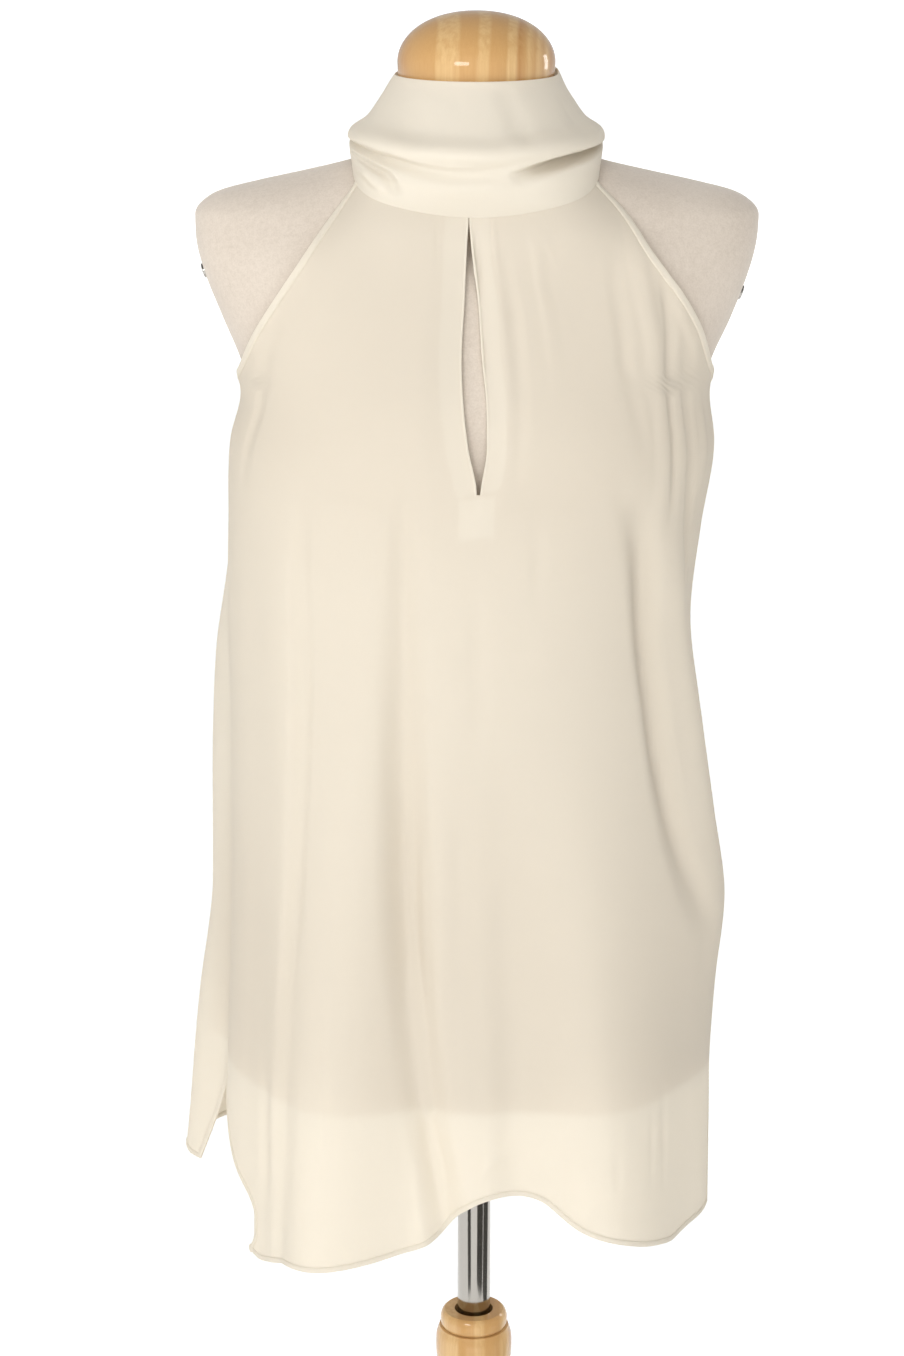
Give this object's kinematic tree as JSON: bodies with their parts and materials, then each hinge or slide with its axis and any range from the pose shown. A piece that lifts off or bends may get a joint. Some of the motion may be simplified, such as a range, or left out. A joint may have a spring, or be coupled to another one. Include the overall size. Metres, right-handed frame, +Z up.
{
  "type": "sleeveless halter-neck blouse on a limbless dress form",
  "caption": "Cream sleeveless halter blouse with a slouched collar, front keyhole and curved slit hem, worn by a limbless dress form on a turned wooden stand.",
  "frame": {"origin": "middle of the stand base's underside, on the axis of the pole", "axes": "+Z up along the pole, the blouse's front faces -Y, +X is to the right seen from the front"},
  "size_m": [0.419, 0.36, 1.342],
  "materials": {
    "crepe": "matt, fine, slightly sheer crepe",
    "button": "pearly gloss",
    "jersey": "matt beige jersey over foam",
    "pine": "laminated honey pine, high gloss lacquer",
    "steel": "polished, faint lengthwise brushing"
  },
  "bodies": {
    "root": {"front_panel": "crepe", "back_panel": "crepe", "collar": "crepe", "keyhole_facing_left": "crepe", "keyhole_facing_right": "crepe", "keyhole_stay": "crepe", "armhole_binding_left": "crepe", "armhole_binding_right": "crepe", "collar_button_upper": "button", "collar_button_lower": "button", "form_torso": "jersey", "neck_cap": "pine", "pole_socket": "steel", "pole": "steel", "stand_ring": "pine", "stand_column": "pine", "stand_base": "pine"}
  },
  "joints": []
}
